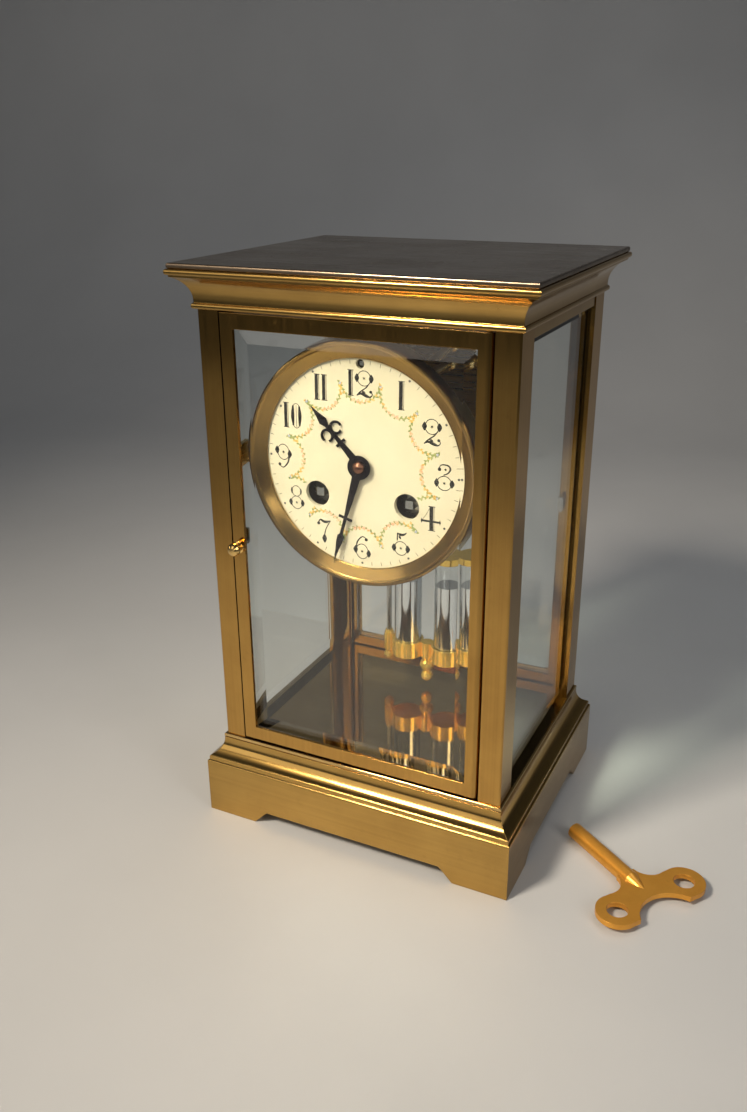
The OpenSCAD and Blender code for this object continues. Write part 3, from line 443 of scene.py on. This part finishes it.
def numeral(ink, text, x, z):
    """An hour numeral, about 10 mm high, centred on x, z."""
    if text == "1":
        bar_one(ink, x, z, 11.0, 1.6)
    elif text == "11":
        bar_one(ink, x - 1.7, z)
        bar_one(ink, x + 1.6, z)
    elif text == "10":
        bar_one(ink, x - 3.5, z)
        ink.ring(x + 1.3, z, 2.35, 5.1, 0.26)
        for s in (-1, 1):
            ink.stroke([(x + 1.3 + s * 1.5, z - 4.1, 0.7), (x + 1.3 + s * 1.6, z, 1.4),
                        (x + 1.3 + s * 1.5, z + 4.1, 0.7)])
        ink.stroke([(x + 1.3, z - 4.6, 0.18), (x + 1.3, z + 4.6, 0.18)])
    elif text == "12":
        bar_one(ink, x - 4.2, z, 10.0, 1.35)
        numeral(ink, "2", x + 1.7, z)
    elif text == "2":
        bowl(ink, x, z + 2.1, 2.85, 2.95)
        ink.stroke([(x + 2.6, z + 0.8, 0.35), (x + 1.0, z - 1.3, 0.5), (x - 1.6, z - 3.2, 0.5),
                    (x - 3.2, z - 4.8, 0.35)])
        ink.stroke([(x - 3.2, z - 4.8, 0.35), (x - 1.4, z - 3.9, 0.9), (x + 0.8, z - 4.6, 1.3),
                    (x + 2.6, z - 5.0, 0.6), (x + 3.6, z - 4.0, 0.35), (x + 3.1, z - 3.0, 0.35)])
        ink.dot(x + 2.9, z - 3.0, 0.62)
        ink.leaf(x - 0.1, z - 3.3, 1.0, 1.8, 1.2)
    elif text == "3":
        ink.stroke([(x - 2.4, z + 3.5, 0.35), (x - 1.3, z + 5.1, 0.4), (x + 1.4, z + 5.1, 0.65),
                    (x + 2.4, z + 3.7, 0.75), (x + 1.4, z + 2.0, 0.5), (x - 0.4, z + 1.1, 0.35)])
        ink.dot(x - 2.1, z + 3.3, 0.75)
        ink.dot(x + 0.4, z + 3.4, 0.45)
        bowl(ink, x, z - 2.2, 2.95, 2.9)
    elif text == "4":
        ink.stroke([(x + 0.3, z - 5.1, 1.55), (x + 0.3, z + 5.1, 1.55)])
        ink.stroke([(x + 1.45, z - 5.1, 0.22), (x + 1.45, z + 5.1, 0.22)])
        ink.stroke([(x - 3.9, z - 1.2, 0.85), (x + 4.0, z - 1.2, 0.85)])
        ink.stroke([(x - 3.7, z - 1.0, 0.18), (x - 1.8, z + 1.7, 0.18), (x - 0.1, z + 5.0, 0.18)])
        for s in (-3.9, 4.0):
            ink.leaf(x + s, z - 1.2, 0.6, 2.2)
        for s in (-5.1, 5.1):
            ink.stroke([(x - 1.0, z + s, 0.28), (x + 2.0, z + s, 0.28)])
    elif text == "5":
        bowl(ink, x, z - 2.0, 2.8, 3.0)
        ink.stroke([(x - 1.6, z + 1.2, 0.35), (x - 1.5, z + 2.8, 0.55), (x - 1.4, z + 4.5, 0.45)])
        ink.stroke([(x - 1.5, z + 4.6, 0.35), (x - 0.2, z + 4.0, 1.1), (x + 1.3, z + 4.2, 0.9),
                    (x + 2.6, z + 5.2, 0.3)])
        ink.leaf(x - 0.4, z + 2.8, 1.0, 2.0, 0.6)
    elif text == "6":
        bowl(ink, x, z - 1.6, 2.75, 3.3, skew=0.6)
        ink.stroke([(x - 2.75, z - 0.8, 0.45), (x - 2.1, z + 2.5, 0.65), (x + 0.1, z + 5.0, 0.45),
                    (x + 1.8, z + 4.5, 0.35)])
        ink.dot(x + 2.0, z + 3.9, 0.72)
    elif text == "7":
        ink.stroke([(x - 2.8, z + 3.2, 0.4), (x - 1.7, z + 4.8, 0.7), (x + 0.4, z + 4.1, 1.2),
                    (x + 3.1, z + 4.9, 0.4)])
        ink.dot(x - 2.6, z + 3.1, 0.72)
        ink.stroke([(x + 3.0, z + 4.8, 0.3), (x + 1.1, z + 1.6, 0.4), (x + 0.1, z - 1.4, 0.5), (x, z - 3.0, 0.4)])
        ink.leaf(x, z - 3.4, 2.3, 4.2)
    elif text == "8":
        ink.ring(x, z + 2.9, 2.1, 2.3, 0.30)
        for s in (-1, 1):
            ink.leaf(x + s * 2.2, z + 2.9, 0.9, 2.9)
        bowl(ink, x, z - 2.2, 2.6, 2.8, 1.9, 3.2)
    elif text == "9":
        bowl(ink, x, z + 1.6, 2.75, 3.3, skew=0.6)
        ink.stroke([(x + 2.75, z + 0.8, 0.45), (x + 2.1, z - 2.5, 0.65), (x - 0.1, z - 5.0, 0.45),
                    (x - 1.8, z - 4.5, 0.35)])
        ink.dot(x - 2.0, z - 3.9, 0.72)


# Winding holes and regulator hole (x, z, radius), minute ring and garlands, in mm and degrees
HOLES = ((20.2, -14.2, 5.4), (-20.2, -14.2, 5.4), (0.0, 41.2, 1.8))
MINUTE_R = 42.0
SWAG_CENTRE_R = 35.5
SWAG_R = 9.2
SWAG_HALF_TURN = 80


def clear(x, z, gap=0.55):
    """True where the enamel is whole, so that nothing is painted over a hole."""
    return all(math.hypot(x - hx, z - hz) > r + gap for hx, hz, r in HOLES)


def runs(points, gap=0.2):
    """The stretches of a line that keep clear of the holes."""
    out = [[]]
    for p in points:
        if clear(p[0], p[1], gap):
            out[-1].append(p)
        elif out[-1]:
            out.append([])
    return [r for r in out if len(r) > 1]


def cluster(ink, rng, x, z, count, out, r):
    """Small dots in a ring, like the petals of a flower."""
    for k in range(count):
        a = 2 * math.pi * k / count + rng.random()
        ink.dot(x + out * math.cos(a), z + out * math.sin(a), r, 4)


def paint_hours():
    black = Ink("dial_numerals", M["black"], 0.035)
    for hour in range(1, 13):
        a = math.radians(hour * 30)
        r = 35.2 if hour not in (3, 9) else 36.0
        numeral(black, str(hour), r * math.sin(a), r * math.cos(a) - (1.6 if hour == 12 else 0.0))
    black.place()


def paint_minutes():
    ticks = Ink("dial_minutes", paint("dial_ticks", (0.03, 0.027, 0.025), (0.06, 0.055, 0.05)), 0.03)
    for minute in range(60):
        a = math.radians(minute * 6)
        s, c = math.sin(a), math.cos(a)
        if not clear(MINUTE_R * s, MINUTE_R * c, 0.9):
            continue
        if minute % 5 == 0:
            ticks.dot(MINUTE_R * s, MINUTE_R * c, 0.52)
        else:
            ticks.stroke([(r * s, r * c, 0.23) for r in (MINUTE_R - 0.8, MINUTE_R + 0.8)])
    ticks.place()


def paint_garlands():
    """A swag of leaves and flowers under each hour numeral."""
    rng = random.Random(12)
    stem = Ink("garland_stems", paint("garland_stem", (0.36, 0.27, 0.07), (0.22, 0.22, 0.07)), 0.02)
    leaf = Ink("garland_leaves", paint("garland_leaf", (0.15, 0.22, 0.08), (0.33, 0.31, 0.10)), 0.025)
    rose = Ink("garland_roses", paint("garland_rose", (0.62, 0.27, 0.18), (0.72, 0.46, 0.33)), 0.03)
    gold = Ink("garland_gilding", paint("garland_gilt", (0.50, 0.27, 0.05), (0.62, 0.40, 0.11)), 0.03)
    blue = Ink("garland_bluebells", paint("garland_blue", (0.24, 0.24, 0.36), (0.42, 0.42, 0.50)), 0.03)
    for hour in range(12):
        mid = math.radians(hour * 30)

        def at(t):
            """Point of the swag, from its left end at -1 to its right end at 1."""
            a = math.radians(SWAG_HALF_TURN * t)
            side, out = SWAG_R * math.sin(a), SWAG_CENTRE_R - SWAG_R * math.cos(a)
            return (out * math.sin(mid) + side * math.cos(mid), out * math.cos(mid) - side * math.sin(mid))

        line = [(*at(-1 + k / 18), 0.2 + 0.08 * rng.random()) for k in range(37)]
        for run in runs(line):
            stem.stroke(run, 2)
        for i in range(26):
            t = -0.96 + 1.92 * i / 25
            x, z = at(t)
            x1, z1 = at(t + 0.02)
            lean = math.atan2(z1 - z, x1 - x) - math.pi / 2
            side = 1 if i % 2 else -1
            turn = lean + side * (0.7 + 0.3 * rng.random())
            off = 0.45
            size = (0.7 + 0.35 * rng.random(), 1.5 + 0.5 * rng.random())
            ink = leaf if rng.random() < 0.72 else gold
            if clear(x, z, 1.3):
                ink.leaf(x - off * math.sin(turn), z + off * math.cos(turn), *size, turn, 4)
        for t in (-0.24, -0.08, 0.09, 0.25):
            x, z = at(t)
            x += 0.25 * (rng.random() - 0.5)
            z += 0.25 * (rng.random() - 0.5)
            if not clear(x, z, 1.0):
                continue
            cluster(rose, rng, x, z, 5, 0.50, 0.36)
            gold.dot(x, z, 0.24, 4)
        for t in (-0.62, 0.62, -0.93, 0.93):
            x, z = at(t)
            if clear(x, z, 0.8):
                cluster(blue if abs(t) > 0.9 else gold, rng, x, z, 4, 0.34, 0.26)
    for ink in (stem, leaf, rose, gold, blue):
        ink.place()


# ---------------------------------------------------------------- stage

# The floor and backdrop, in metres and degrees
STAGE_REACH = 9.0
STAGE_BEND_Y = 0.60
STAGE_BEND_R = 0.4
STAGE_BEND_STEPS = 12
STAGE_TOP = 3.0
STAGE_TURN = 18
STAGE_DROP = 0.0001


def make_stage():
    """A floor that bends up into a backdrop behind the clock, turned partly towards the camera."""
    mesh = bpy.data.meshes.new("floor")
    bm = bmesh.new()
    profile = [(-STAGE_REACH, 0.0), (STAGE_BEND_Y, 0.0)]
    for k in range(1, STAGE_BEND_STEPS + 1):
        a = math.pi / 2 * k / STAGE_BEND_STEPS
        profile.append((STAGE_BEND_Y + STAGE_BEND_R * math.sin(a), STAGE_BEND_R * (1 - math.cos(a))))
    profile.append((STAGE_BEND_Y + STAGE_BEND_R, STAGE_TOP))
    rows = [[bm.verts.new((x, y, z)) for x in (-STAGE_REACH, STAGE_REACH)] for y, z in profile]
    for a, b in zip(rows, rows[1:]):
        bm.faces.new((a[0], a[1], b[1], b[0]))
    for f in bm.faces:
        f.smooth = True
    bm.to_mesh(mesh)
    bm.free()
    mesh.materials.append(stage_paint("pale_floor", (0.56, 0.57, 0.58), (0.52, 0.53, 0.54)))
    floor = bpy.data.objects.new("floor", mesh)
    scene.collection.objects.link(floor)
    floor.rotation_euler = (0, 0, math.radians(STAGE_TURN))
    floor.location = (0, 0, -STAGE_DROP)


def make_light():
    """Soft studio light: a dim surround, a lamp that lights the object, and banks for the brass to mirror."""
    world = bpy.data.worlds.new("studio")
    scene.world = world
    world.use_nodes = True
    back = world.node_tree.nodes["Background"]
    back.inputs["Color"].default_value = (0.60, 0.62, 0.66, 1)
    back.inputs["Strength"].default_value = 0.09
    area_light("key", (-0.30, -0.68, 0.80), (0.02, -0.02, 0.08), (0.18, 0.18), 1.5, (1.0, 0.87, 0.70), 66)
    area_light("side", (0.75, -0.35, 0.55), (0, 0, 0.10), (0.30, 0.60), 0.8, (1.0, 0.94, 0.86), 120)
    area_light("top", (0.15, 0.25, 0.95), (0, 0, 0.12), (0.60, 0.45), 1.3, (0.95, 0.97, 1.0))
    area_light("bank", (-0.46, -0.95, 0.42), (0, 0, 0.10), (0.62, 0.46), 1.15, (1.0, 0.93, 0.84))
    area_light("left strip", (-0.98, -0.42, 0.42), (0, 0, 0.10), (0.07, 0.45), 0.35, (1.0, 0.92, 0.80))
    area_light("right strip", (0.25, -1.05, 0.40), (0, 0, 0.10), (0.07, 0.45), 0.30, (1.0, 0.95, 0.88))
    scene.view_settings.view_transform = "Standard"


make_camera()
make_light()
make_stage()
dress()
paint_hours()
paint_minutes()
paint_garlands()
